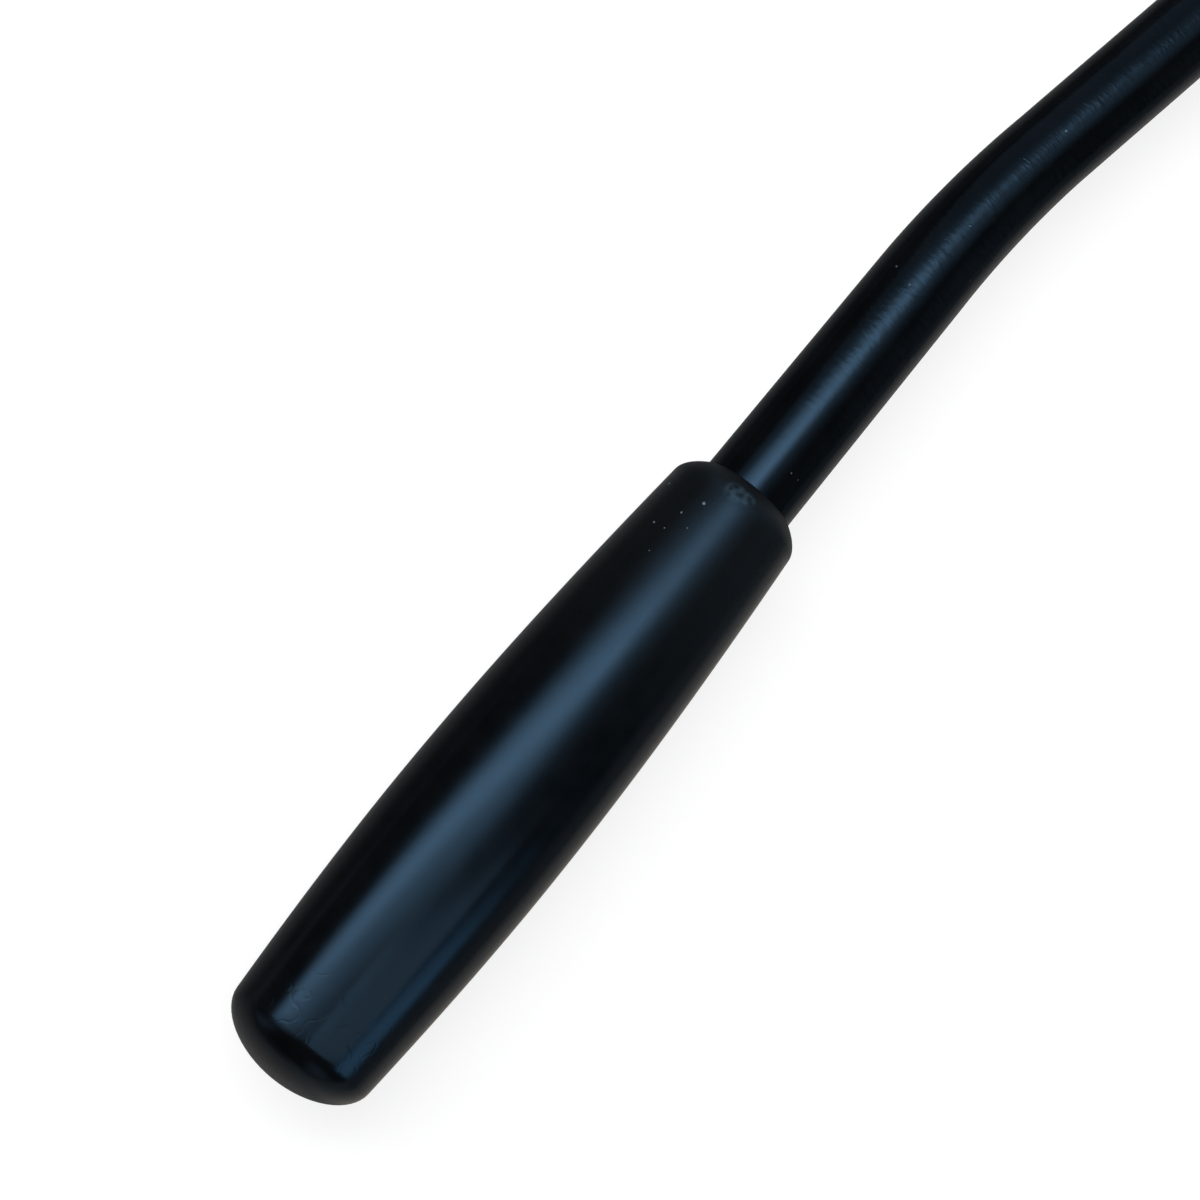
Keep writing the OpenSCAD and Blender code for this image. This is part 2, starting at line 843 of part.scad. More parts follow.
grip();
handle_bar();
bar_plug();
end_fitting();
fitting_pins();
rosette_ring();
rosette_screws();
return_spring();
thrust_washer();
glide_washer();
clamp_screw();
ratchet_hub();
hub_pin();
clamp_lever();
lever_spring();
lever_screw();
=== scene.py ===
import math

import bpy
from mathutils import Matrix, Vector


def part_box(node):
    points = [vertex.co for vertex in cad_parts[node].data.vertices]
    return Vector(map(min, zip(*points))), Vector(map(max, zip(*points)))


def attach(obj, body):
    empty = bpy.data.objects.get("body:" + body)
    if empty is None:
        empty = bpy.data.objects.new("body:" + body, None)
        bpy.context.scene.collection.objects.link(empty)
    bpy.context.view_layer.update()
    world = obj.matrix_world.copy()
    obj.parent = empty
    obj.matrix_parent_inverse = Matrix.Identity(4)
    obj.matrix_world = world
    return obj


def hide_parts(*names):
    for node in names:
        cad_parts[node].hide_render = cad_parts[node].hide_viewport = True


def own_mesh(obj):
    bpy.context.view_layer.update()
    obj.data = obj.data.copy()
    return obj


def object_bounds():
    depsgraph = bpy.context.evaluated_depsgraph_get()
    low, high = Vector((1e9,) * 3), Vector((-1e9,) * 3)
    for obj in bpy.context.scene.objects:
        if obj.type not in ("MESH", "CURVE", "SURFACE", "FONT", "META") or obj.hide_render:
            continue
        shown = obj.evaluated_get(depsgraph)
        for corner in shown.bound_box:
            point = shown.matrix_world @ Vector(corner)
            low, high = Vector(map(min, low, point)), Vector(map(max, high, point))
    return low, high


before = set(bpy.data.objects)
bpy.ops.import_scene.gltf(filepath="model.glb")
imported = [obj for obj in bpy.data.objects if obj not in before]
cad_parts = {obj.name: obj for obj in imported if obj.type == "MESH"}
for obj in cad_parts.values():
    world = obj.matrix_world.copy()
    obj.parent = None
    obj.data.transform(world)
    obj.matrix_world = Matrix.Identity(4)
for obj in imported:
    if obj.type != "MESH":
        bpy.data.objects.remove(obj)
cad_low, cad_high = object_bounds()

# ---- Where the handle lies, and the camera that looks down on it ----
# The handle is a straight root, one gentle bend and a straight stretch that carries the grip.
# The camera looks down on the grip's side of it, through a 90 mm lens half a metre away.
bar_height = 0.0095
bend_start = 0.154
bend_radius = 0.190
bend_angle = math.radians(9.4)
grip_run = 0.0462

past_bend = (
    Matrix.Translation((bend_start, bend_radius, bar_height))
    @ Matrix.Rotation(bend_angle, 4, "Z")
    @ Matrix.Translation((0, -bend_radius, 0))
)
at_mouth = past_bend @ Matrix.Translation((grip_run, 0, 0))

picture_side_px = 1200
focal_px = 3000
sensor_mm = 36
nearest_seen = 0.01
furthest_seen = 50
mouth_px = (746.2, 497.1)
px_per_metre_at_mouth = 6330
lie_of_the_bar = math.radians(50.6)
dip_of_the_bar = math.radians(11)

towards_root = Vector((
    math.cos(dip_of_the_bar) * math.cos(lie_of_the_bar),
    math.cos(dip_of_the_bar) * math.sin(lie_of_the_bar),
    -math.sin(dip_of_the_bar),
))
sideways = towards_root.cross(Vector((0, 0, 1))).normalized()
upwards = sideways.cross(towards_root)
seen_axes = Matrix((-towards_root, sideways, upwards)).transposed()
seen_mouth = Vector((
    mouth_px[0] - picture_side_px / 2,
    picture_side_px / 2 - mouth_px[1],
    -focal_px,
)) / px_per_metre_at_mouth
camera_axes = seen_axes.transposed()

camera = bpy.data.objects.new("camera", bpy.data.cameras.new("camera"))
bpy.context.scene.collection.objects.link(camera)
camera.data.sensor_width = sensor_mm
camera.data.lens = sensor_mm * focal_px / picture_side_px
camera.data.clip_start = nearest_seen
camera.data.clip_end = furthest_seen
camera.matrix_world = at_mouth @ (
    Matrix.Translation(-(camera_axes @ seen_mouth)) @ camera_axes.to_4x4()
)
bpy.context.scene.camera = camera
bpy.context.scene.view_settings.view_transform = "Standard"


# ---- Floor, air and lamps ----
# A pale floor and pale air. Gloss sees a dimmer floor, with painted shade in bands beside the
# handle and painted reflections beside it and past the grip's end, and air that is dark overhead
# with a soft glow low past both ends. One large soft box hangs overhead, with a slanted panel, a
# small deep blue panel low past the grip, and a weak panel at the far side.
def finish_nodes(name, world=False):
    """A new material, or the world's own tree, with nothing in it but its output."""
    holder = bpy.data.worlds.new(name) if world else bpy.data.materials.new(name)
    holder.use_nodes = True
    tree = holder.node_tree
    tree.nodes.clear()
    output = tree.nodes.new("ShaderNodeOutputWorld" if world else "ShaderNodeOutputMaterial")
    return holder, tree, output


def reckon(tree, operation, first, second=None, third=None):
    """A math node: each input is a number or another node's output."""
    node = tree.nodes.new("ShaderNodeMath")
    node.operation = operation
    for socket, value in zip(node.inputs, (first, second, third)):
        if isinstance(value, bpy.types.NodeSocket):
            tree.links.new(value, socket)
        elif value is not None:
            socket.default_value = value
    return node.outputs[0]


def seen_or_mirrored(tree):
    """1 for rays from the camera, and for those that a glossy or clear surface sends on."""
    path = tree.nodes.new("ShaderNodeLightPath")
    mirrored = reckon(
        tree, "MAXIMUM", path.outputs["Is Glossy Ray"], path.outputs["Is Transmission Ray"]
    )
    return path.outputs["Is Camera Ray"], mirrored


def ramp(tree, value, *stops):
    """A colour, or a plain number, that runs evenly through (position, colour) stops."""
    node = tree.nodes.new("ShaderNodeValToRGB")
    elements = node.color_ramp.elements
    while len(elements) < len(stops):
        elements.new(position=0.5)
    for element, (position, colour) in zip(elements, stops):
        if not isinstance(colour, tuple):
            colour = (colour, colour, colour)
        element.position = position
        element.color = (*colour, 1)
    tree.links.new(value, node.inputs["Fac"])
    return node.outputs["Color"]


floor_size = 12.0
floor_gap = 0.0001
floor_middle = (0.17, 0.01, 0)

# The bands run along the handle. Their places go from 0 on one side of it to 1 on the other,
# and band_reach is how far they go to each side of its centre line.
band_reach = 0.10
band_middle = 0.5
floor_colour = (0.257, 0.246, 0.239)
# The floor's colour holds painted shade: it is darker in bands beside the handle, where gloss sees
# it, and the glow in glow_bands covers it for the camera.
floor_painted_shade_bands = (
    (0.14, (0.050, 0.048, 0.045)),
    (0.24, (0.137, 0.132, 0.125)),
    (0.34, (0.216, 0.207, 0.200)),
    (0.40, floor_colour),
    (0.77, floor_colour),
    (0.86, (0.125, 0.121, 0.117)),
    (0.95, floor_colour),
)
floor_glow = 0.80
glow_bands = (
    (0.16, 1.0),
    (0.30, 0.94),
    (0.42, floor_glow),
    (0.77, floor_glow),
    (0.86, 0.94),
    (0.95, floor_glow),
)
# Painted reflections that only gloss sees on the floor, across the bands: a bright band just to one
# side of the handle, faint glow further out, and painted shade close along its line.
painted_reflection_and_shade_bands = (
    (0.08, (0.02, 0.017, 0.014)),
    (0.20, (0.05, 0.043, 0.036)),
    (0.34, (0.05, 0.043, 0.036)),
    (0.45, (0.02, 0.02, 0.02)),
    (0.55, (0.02, 0.02, 0.02)),
    (0.58, (0.40, 0.34, 0.28)),
    (0.70, (0.36, 0.31, 0.26)),
    (0.76, (0.27, 0.23, 0.19)),
    (0.84, (0.04, 0.034, 0.028)),
    (0.93, (0.06, 0.05, 0.04)),
)

# Lengths in metres from the clamp's axis, and the painted reflection that gloss sees there on the
# floor.
painted_reflection_past_the_end = (
    (0.350, (0.0, 0.0, 0.0)),
    (0.360, (0.22, 0.18, 0.15)),
    (0.385, (0.37, 0.29, 0.22)),
    (0.45, (0.32, 0.25, 0.19)),
    (0.55, (0.04, 0.04, 0.04)),
)

# Far from the handle the floor glows a little more, so that it meets the air without a line.
far_glow = 1.05
glow_from = 0.35
glow_to = 1.6

half = floor_size / 2
floor_z = cad_low.z - floor_gap
floor_mesh = bpy.data.meshes.new("floor")
floor_mesh.from_pydata(
    [(x, y, floor_z) for x, y in ((-half, -half), (half, -half), (half, half), (-half, half))],
    [],
    [(0, 1, 2, 3)],
)
floor = bpy.data.objects.new("floor", floor_mesh)
bpy.context.scene.collection.objects.link(floor)

paper, tree, output = finish_nodes("pale_paper")
matt = tree.nodes.new("ShaderNodeBsdfDiffuse")
glow = tree.nodes.new("ShaderNodeEmission")
both = tree.nodes.new("ShaderNodeAddShader")
place = tree.nodes.new("ShaderNodeTexCoord")
away = tree.nodes.new("ShaderNodeVectorMath")
away.operation = "DISTANCE"
away.inputs[1].default_value = floor_middle
tree.links.new(place.outputs["Object"], away.inputs[0])
rise = tree.nodes.new("ShaderNodeMapRange")
rise.inputs["From Min"].default_value = glow_from
rise.inputs["From Max"].default_value = glow_to
rise.inputs["To Min"].default_value = floor_glow
rise.inputs["To Max"].default_value = far_glow
tree.links.new(away.outputs["Value"], rise.inputs["Value"])
seen, mirrored = seen_or_mirrored(tree)
parts = tree.nodes.new("ShaderNodeSeparateXYZ")
tree.links.new(place.outputs["Object"], parts.inputs[0])
past_the_bend = reckon(tree, "SUBTRACT", parts.outputs["X"], bend_start)
past_the_bend = reckon(tree, "MAXIMUM", past_the_bend, 0)
aside = reckon(tree, "MULTIPLY_ADD", past_the_bend, -math.tan(bend_angle), parts.outputs["Y"])
across = reckon(tree, "MULTIPLY_ADD", aside, band_middle / band_reach, band_middle)
# Painted shade: the floor's colour darkens in the bands beside the handle.
tree.links.new(ramp(tree, across, *floor_painted_shade_bands), matt.inputs["Color"])
shown = reckon(tree, "MAXIMUM", rise.outputs[0], ramp(tree, across, *glow_bands))
shown = reckon(tree, "MULTIPLY", seen, shown)
# The floor glows for the camera, and for gloss with the painted reflections and painted shade.
tint = tree.nodes.new("ShaderNodeVectorMath")
tint.operation = "MULTIPLY_ADD"
painted_reflection = tree.nodes.new("ShaderNodeVectorMath")
painted_reflection.operation = "MAXIMUM"
tree.links.new(ramp(tree, across, *painted_reflection_and_shade_bands), painted_reflection.inputs[0])
tree.links.new(ramp(tree, parts.outputs["X"], *painted_reflection_past_the_end), painted_reflection.inputs[1])
tree.links.new(painted_reflection.outputs[0], tint.inputs[0])
tree.links.new(mirrored, tint.inputs[1])
tree.links.new(shown, tint.inputs[2])
tree.links.new(tint.outputs[0], glow.inputs["Color"])
tree.links.new(matt.outputs[0], both.inputs[0])
tree.links.new(glow.outputs[0], both.inputs[1])
tree.links.new(both.outputs[0], output.inputs["Surface"])
floor_mesh.materials.append(paper)


def eased(tree, value, at_none, at_full):
    """A share that rises softly from 0 at one value to 1 at the other."""
    node = tree.nodes.new("ShaderNodeMapRange")
    node.interpolation_type = "SMOOTHSTEP"
    node.inputs["From Min"].default_value = at_none
    node.inputs["From Max"].default_value = at_full
    tree.links.new(value, node.inputs["Value"])
    return node.outputs[0]


# How bright the air is, and where it changes. Each _from and _to is a part of the direction one
# looks in: X along the root, Y across it and Z up.
air_colour = (1, 1, 1, 1)
air_fill = 0.05
air_overhead = 0.022
overhead_from, overhead_to = -0.06, 0.03
air_past_root = 0.55
root_side_from, root_side_to = -0.30, -0.75
air_past_grip = 0.50
grip_side_from, grip_side_to = 0.42, 0.78
off_axis_from, off_axis_to = 0.32, 0.62
low_from, low_to = 0.85, 0.35

air, tree, output = finish_nodes("studio_air", world=True)
bpy.context.scene.world = air
direction = tree.nodes.new("ShaderNodeTexCoord")
parts = tree.nodes.new("ShaderNodeSeparateXYZ")
tree.links.new(direction.outputs["Generated"], parts.inputs[0])
fade = tree.nodes.new("ShaderNodeMapRange")
fade.inputs["From Min"].default_value = overhead_from
fade.inputs["From Max"].default_value = overhead_to
fade.inputs["To Min"].default_value = 1
fade.inputs["To Max"].default_value = air_overhead
tree.links.new(parts.outputs["Z"], fade.inputs["Value"])
past_root = eased(tree, parts.outputs["X"], root_side_from, root_side_to)
past_root = reckon(tree, "MULTIPLY", past_root, air_past_root)
past_grip = eased(tree, parts.outputs["X"], grip_side_from, grip_side_to)
past_grip = reckon(tree, "MULTIPLY", past_grip, air_past_grip)
off_axis = reckon(tree, "ABSOLUTE", parts.outputs["Y"])
off_axis = eased(tree, off_axis, off_axis_from, off_axis_to)
past_grip = reckon(tree, "MULTIPLY", past_grip, off_axis)
low_down = eased(tree, parts.outputs["Z"], low_from, low_to)
ends = reckon(tree, "MAXIMUM", past_root, past_grip)
ends = reckon(tree, "MULTIPLY", ends, low_down)
seen, mirrored = seen_or_mirrored(tree)
lift = reckon(tree, "SUBTRACT", reckon(tree, "MAXIMUM", fade.outputs[0], ends), air_fill)
strength = reckon(tree, "MULTIPLY_ADD", lift, mirrored, air_fill)
strength = reckon(tree, "MAXIMUM", strength, seen)
back = tree.nodes.new("ShaderNodeBackground")
back.inputs["Color"].default_value = air_colour
tree.links.new(strength, back.inputs["Strength"])
tree.links.new(back.outputs[0], output.inputs["Surface"])

camera_height = focal_px / px_per_metre_at_mouth


def hang_lamp(name, place, along, length, width, radiance, colour, flat=False):
    """A flat soft lamp that faces the handle, or hangs flat over it. Its place, and the way its
    length runs, are right, up and back as the camera sees them, from the middle of the picture."""
    lamp = bpy.data.lights.new(name, "AREA")
    lamp.shape = "RECTANGLE"
    lamp.size, lamp.size_y = length, width
    lamp.energy = radiance * math.pi * length * width
    lamp.color = colour
    obj = bpy.data.objects.new(name, lamp)
    bpy.context.scene.collection.objects.link(obj)
    away = Vector((0, 0, 1)) if flat else Vector(place).normalized()
    up = away.cross(Vector(along)).normalized()
    turn = Matrix((up.cross(away), up, away)).transposed().to_4x4()
    there = Vector(place) + Vector((0, 0, -camera_height))
    obj.matrix_world = camera.matrix_world @ Matrix.Translation(there) @ turn
    return lamp


def fade_edges(lamp, along, across):
    """Makes a lamp dim out over its cloth, by stops along its length and across its width."""
    lamp.use_nodes = True
    tree = lamp.node_tree
    cloth = tree.nodes.new("ShaderNodeNewGeometry")
    parts = tree.nodes.new("ShaderNodeSeparateXYZ")
    tree.links.new(cloth.outputs["Parametric"], parts.inputs[0])
    strength = reckon(
        tree,
        "MULTIPLY",
        ramp(tree, parts.outputs["X"], *along),
        ramp(tree, parts.outputs["Y"], *across),
    )
    tree.links.new(strength, tree.nodes["Emission"].inputs["Strength"])


studio_white = (0.93, 0.97, 1.0)
deep_blue = (0.53, 0.82, 1.0)
soft_box = hang_lamp(
    "soft_box",
    place=(0, 0.55, 1.0),
    along=(0.987, -0.163, 0),
    length=2.5,
    width=1.5,
    radiance=8.3,
    colour=studio_white,
    flat=True,
)
box_along = (
    (0.0, 0.15),
    (0.18, 0.76),
    (0.34, 0.99),
    (0.48, 0.97),
    (0.62, 1.0),
    (0.74, 0.21),
    (0.86, 0.09),
    (1.0, 0.03),
)
box_across = (
    (0.0, 0.0),
    (0.15, 0.12),
    (0.34, 0.40),
    (0.45, 1.0),
    (0.55, 0.70),
    (0.65, 0.385),
    (0.75, 0.065),
    (0.85, 0.03),
    (1.0, 0.0),
)
fade_edges(soft_box, box_along, box_across)

hang_lamp(
    "slanted_panel",
    place=(0.46, -0.38, 1.0),
    along=(0.816, -0.578, 0),
    length=1.10,
    width=0.34,
    radiance=1.84,
    colour=studio_white,
)
low_panel = hang_lamp(
    "low_panel",
    place=(0.64, -0.68, 0.33),
    along=(-0.578, -0.816, 0),
    length=0.46,
    width=0.60,
    radiance=2.76,
    colour=deep_blue,
)
soft_edges = ((0.0, 0.0), (0.32, 1.0), (0.68, 1.0), (1.0, 0.0))
fade_edges(low_panel, soft_edges, soft_edges)
hang_lamp(
    "far_panel",
    place=(0.05, 0.95, 0.50),
    along=(0.978, -0.208, 0),
    length=0.8,
    width=0.8,
    radiance=0.32,
    colour=studio_white,
)


# ---- Grip ----
# A tapered, dome-ended handle of black rubber, moulded in one piece and glued on the bar. It is
# fullest between its middle and the dome, and its shoulder rolls over to a thin lip round the bar.
grip_length = 0.11638
belly_r = 0.01444
belly_at = 0.0495
dome_end_r = 0.01229
mouth_r = 0.01124
dome_depth = 0.0072
shoulder_length = 0.0038
shoulder_curve = 1.9
bar_r = 0.008
lip = 0.0004
glue_gap = 0.00005
lip_chamfer = 0.00025
socket_depth = 0.101
pole_below = 1e-9
sharp_edge = 35


def grip_r(x):
    """Radius of the grip at a distance x from its domed end."""
    if x < belly_at:
        share, end_r = (belly_at - x) / belly_at, dome_end_r
    else:
        share, end_r = (x - belly_at) / (grip_length - belly_at), mouth_r
    r = belly_r - (belly_r - end_r) * (math.sqrt(1 + share * share) - 1) / (math.sqrt(2) - 1)
    if x < dome_depth:
        r *= math.sqrt(max(0.0, 1 - (1 - x / dome_depth) ** 2))
    roll = max(0.0, 1 - (grip_length - x) / shoulder_length)
    return r - (mouth_r - bar_r - lip) * roll**shoulder_curve


def turned(name, outline, sides, axis="Z"):
    """A mesh turned about an axis from (along, radius) points. A radius of 0 makes a pole."""
    place = {
        "Z": lambda h, r, c, s: (r * c, r * s, h),
        "X": lambda h, r, c, s: (h, r * c, r * s),
    }[axis]
    points, faces, rings = [], [], []
    for along, r in outline:
        start = len(points)
        if r < pole_below:
            points.append(place(along, 0, 1, 0))
            rings.append([start] * sides)
            continue
        for k in range(sides):
            turn = 2 * math.pi * k / sides
            points.append(place(along, r, math.cos(turn), math.sin(turn)))
        rings.append(list(range(start, start + sides)))
    for low, high in zip(rings, rings[1:]):
        for k in range(sides):
            n = (k + 1) % sides
            corners = [low[k], low[n], high[n], high[k]]
            faces.append(list(dict.fromkeys(corners)))
    return mesh_piece(name, points, [f for f in faces if len(f) > 2])


def mesh_piece(name, points, faces, sharp_above=sharp_edge):
    """A piece of its own, smooth but for the edges sharper than an angle in degrees."""
    mesh = bpy.data.meshes.new(name)
    mesh.from_pydata(points, [], faces)
    mesh.update()
    obj = bpy.data.objects.new(name, mesh)
    bpy.context.scene.collection.objects.link(obj)
    face_outwards(obj)
    mesh.shade_smooth()
    mesh.set_sharp_from_angle(angle=math.radians(sharp_above))
    return obj


def face_outwards(obj):
    """Turns every face of a closed mesh outwards."""
    volume = 0.0
    mesh = obj.data
    for face in mesh.polygons:
        corners = [mesh.vertices[i].co for i in face.vertices]
        for b, c in zip(corners[1:], corners[2:]):
            volume += corners[0].dot(b.cross(c))
    if volume < 0:
        mesh.flip_normals()


black_gloss = 0.08
black_gloss_tint = (1.08, 2.12, 3.35, 1)
rubber_blacks = ((0.35, (0.0020, 0.0022, 0.0025)), (0.7, (0.0032, 0.0035, 0.0040)))
mouth_black = (0.0050, 0.0055, 0.0057)
rubber_dust = (0.087, 0.106, 0.114)
# The pale blue of the painted highlight on the shoulder by the mouth.
painted_highlight_blue = (0.021, 0.034, 0.046)
grit_grey = (0.13, 0.157, 0.174)

# What the roughness starts from, and how much each cause adds to it.
rubber_roughness = 0.145
scuffs_add = 0.06
mottle_adds = 0.05
mouth_adds = 0.07
worn_lip_adds = 0.22

# Heights and depths of the relief, in thousandths of a millimetre.
grain_height = 2.4
swell_height = 40
grit_height = 60
crease_depth = 9


def moulded_rubber():
    """Satin black rubber: a fine even grain, faint flow mottling, scuffs along it, and dust. The
    hand has polished its free end, and it is duller and a little lighter towards the mouth, where
    patches of painted highlight lie on the shoulder."""
    material, tree, output = finish_nodes("moulded_rubber")
    shader = tree.nodes.new("ShaderNodeBsdfPrincipled")
    where = seated(tree, at_mouth.translation, bend_angle)
    shader.inputs["Specular IOR Level"].default_value = black_gloss
    shader.inputs["Specular Tint"].default_value = black_gloss_tint
    parts = tree.nodes.new("ShaderNodeSeparateXYZ")
    tree.links.new(where, parts.inputs[0])
    from_mouth = parts.outputs["X"]

    near_mouth = eased(tree, from_mouth, at_none=0.055, at_full=0.006)
    mottle = noise(tree, where, scale=260, detail=3)
    colour = ramp(tree, mottle, *rubber_blacks)
    colour = mix_colour(tree, near_mouth, colour, mouth_black)
    dust = specks(tree, where, scale=150, radius=0.06, rarity=0.965)
    colour = mix_colour(tree, dust, colour, rubber_dust)
    # Painted highlight: pale bluish patches on the shoulder by the mouth, broken up by noise.
    painted_highlight = spots(tree, where, [(grip_surface(*place), size) for place, size in painted_highlight_places])
    patches = noise(tree, stretched(tree, where, scale=(700, 900, 900)), scale=1, detail=3)
    patches = eased(tree, patches, at_none=0.30, at_full=0.62)
    painted_highlight = reckon(tree, "MULTIPLY", painted_highlight, patches)
    colour = mix_colour(tree, painted_highlight, colour, painted_highlight_blue)
    grit = spots(tree, where, [(grip_surface(*place), size) for place, size in grit_places])
    colour = mix_colour(tree, grit, colour, grit_grey)
    tree.links.new(colour, shader.inputs["Base Color"])

    scuffs = noise(tree, stretched(tree, where, scale=(60, 900, 900)), scale=1, detail=4)
    rough = reckon(tree, "MULTIPLY_ADD", scuffs, scuffs_add, rubber_roughness)
    rough = reckon(tree, "MULTIPLY_ADD", mottle, mottle_adds, rough)
    rough = reckon(tree, "MULTIPLY_ADD", near_mouth, mouth_adds, rough)
    worn_lip = eased(tree, from_mouth, at_none=0.0058, at_full=0.0016)
    rough = reckon(tree, "MULTIPLY_ADD", worn_lip, worn_lip_adds, rough)
    rough = reckon(tree, "MAXIMUM", rough, rim_haze(tree, face_on=0.18, edge_on=0.28))
    tree.links.new(rough, shader.inputs["Roughness"])

    grain = noise(tree, where, scale=5200, detail=2)
    swell = noise(tree, where, scale=95, detail=2)
    relief = reckon(tree, "MULTIPLY", swell, swell_height)
    relief = reckon(tree, "MULTIPLY_ADD", grain, grain_height, relief)
    relief = reckon(tree, "MULTIPLY_ADD", grit, grit_height, relief)
    creased = reckon(
        tree,
        "MULTIPLY",
        eased(tree, from_mouth, at_none=0.097, at_full=0.102),
        eased(tree, from_mouth, at_none=0.1125, at_full=0.1095),
    )
    wander = reckon(tree, "SUBTRACT", noise(tree, where, scale=210, detail=1), noise_middle)
    wander = reckon(tree, "ABSOLUTE", wander)
    creases = eased(tree, wander, at_none=0.022, at_full=0.004)
    creases = reckon(tree, "MULTIPLY", creases, creased)
    relief = reckon(tree, "MULTIPLY_ADD", creases, -crease_depth, relief)
    tree.links.new(bump(tree, relief), shader.inputs["Normal"])
    tree.links.new(shader.outputs[0], output.inputs["Surface"])
    return material


# Marks on the rubber: how far from the mouth, how many degrees round from the top, and radius. The
# first are patches of painted highlight on the shoulder by the mouth, the second specks of grit.
painted_highlight_places = (
    ((0.0032, -10), 0.0017),
    ((0.0028, 1), 0.0013),
)
grit_places = (
    ((0.0078, -23), 0.00026),
    ((0.0110, -32), 0.00018),
    ((0.0146, -45), 0.00019),
    ((0.0074, -65), 0.00020),
    ((0.0126, -20), 0.00012),
    ((0.0146, -34), 0.00012),
    ((0.0190, -31), 0.00010),
)


def grip_surface(along, turn):
    """The point on the grip at a distance from its mouth and a turn in degrees from its top."""
    r = grip_r(grip_length - along)
    return along, r * math.sin(math.radians(turn)), r * math.cos(math.radians(turn))


def seated(tree, origin, turn):
    """Places on the object, measured from an origin along axes turned in plan."""
    node = tree.nodes.new("ShaderNodeMapping")
    node.vector_type = "TEXTURE"
    node.inputs["Location"].default_value = origin
    node.inputs["Rotation"].default_value = (0, 0, turn)
    where = tree.nodes.new("ShaderNodeTexCoord").outputs["Object"]
    tree.links.new(where, node.inputs["Vector"])
    return node.outputs[0]


even_blend = 0.5


def rim_haze(tree, face_on, edge_on):
    """Gloss that dulls where the surface is seen at a low angle, as on a fine grain."""
    facing = tree.nodes.new("ShaderNodeLayerWeight")
    facing.inputs["Blend"].default_value = even_blend
    share = eased(tree, facing.outputs["Facing"], at_none=0.25, at_full=0.75)
    return reckon(tree, "MULTIPLY_ADD", share, edge_on - face_on, face_on)


def spots(tree, where, places):
    """1 on round spots at given places, softly edged. Each has its own radius."""
    mask = 0.0
    for place, radius in places:
        gap = tree.nodes.new("ShaderNodeVectorMath")
        gap.operation = "DISTANCE"
        tree.links.new(where, gap.inputs[0])
        gap.inputs[1].default_value = place
        spot = eased(tree, gap.outputs["Value"], at_none=1.3 * radius, at_full=0.6 * radius)
        mask = reckon(tree, "MAXIMUM", spot, mask)
    return mask


noise_middle = 0.5


def noise(tree, where, scale, detail):
    """Cloudy noise at a scale in waves to the metre."""
    node = tree.nodes.new("ShaderNodeTexNoise")
    node.inputs["Scale"].default_value = scale
    node.inputs["Detail"].default_value = detail
    tree.links.new(where, node.inputs["Vector"])
    return node.outputs["Fac"]


def stretched(tree, where, scale):
    """The same place with each axis scaled by itself."""
    node = tree.nodes.new("ShaderNodeMapping")
    node.inputs["Scale"].default_value = scale
    tree.links.new(where, node.inputs["Vector"])
    return node.outputs[0]


def mix_colour(tree, share, first, second):
    """The first colour, with the second over it where share is 1."""
    node = tree.nodes.new("ShaderNodeMix")
    node.data_type = "RGBA"
    # The node repeats its socket names for each kind of data, so they go by their numbers here.
    share_in, first_in, second_in = node.inputs[0], node.inputs[6], node.inputs[7]
    tree.links.new(share, share_in)
    for socket, colour in ((first_in, first), (second_in, second)):
        if isinstance(colour, bpy.types.NodeSocket):
            tree.links.new(colour, socket)
        else:
            socket.default_value = (*colour, 1)
    return node.outputs[2]


def specks(tree, where, scale, radius, rarity):
    """1 on small round specks: one in some of the cells of a loose grid."""
    cells = tree.nodes.new("ShaderNodeTexVoronoi")
    cells.inputs["Scale"].default_value = scale
    tree.links.new(where, cells.inputs["Vector"])
    chance = tree.nodes.new("ShaderNodeSeparateXYZ")
    tree.links.new(cells.outputs["Color"], chance.inputs[0])
    near = reckon(tree, "LESS_THAN", cells.outputs["Distance"], radius)
    rare = reckon(tree, "GREATER_THAN", chance.outputs["X"], rarity)
    return reckon(tree, "MULTIPLY", near, rare)


micrometre = 0.000001


def bump(tree, height, unit=micrometre):
    """Relief from a height, which is in thousandths of a millimetre unless a unit is given."""
    node = tree.nodes.new("ShaderNodeBump")
    node.inputs["Distance"].default_value = unit
    node.inputs["Strength"].default_value = 1
    tree.links.new(height, node.inputs["Height"])
    return node.outputs[0]


dome_rings = 16
body_rings = 60
shoulder_rings = 14
grip_sides = 128
body_end = grip_length - shoulder_length
stations = [dome_depth * (1 - math.cos(math.pi / 2 * i / dome_rings)) for i in range(dome_rings)]
stations += [dome_depth + (body_end - dome_depth) * i / body_rings for i in range(body_rings)]
stations += [body_end + shoulder_length * i / shoulder_rings for i in range(shoulder_rings + 1)]
bore_r = bar_r + glue_gap
outline = [(grip_length - x, grip_r(x)) for x in stations]
outline += [
    (0, bore_r + lip_chamfer),
    (lip_chamfer, bore_r),
    (socket_depth, bore_r),
    (socket_depth, 0),
]
grip = turned("rubber_grip", outline, grip_sides, axis="X")
grip.data.transform(at_mouth)
grip.data.materials.append(moulded_rubber())
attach(grip, "handle")
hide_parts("grip")


# ---- Bar ----
# A drawn aluminium tube, bent once and lacquered black. It is 16 mm thick in the grip and gets
# thinner through the bend to 14.4 mm. Its lacquer has fine wrinkles at the bend, and a few nicks.
bar_start = 0.026
bar_wall = 0.0015
bend_r = 0.00775
root_r = 0.0072
short_of_socket = 0.0016
in_grip = socket_depth - short_of_socket
ring_step = 0.001
bar_sides = 96
bend_length = bend_radius * bend_angle
bar_length = bend_start - bar_start + bend_length + grip_run + in_grip


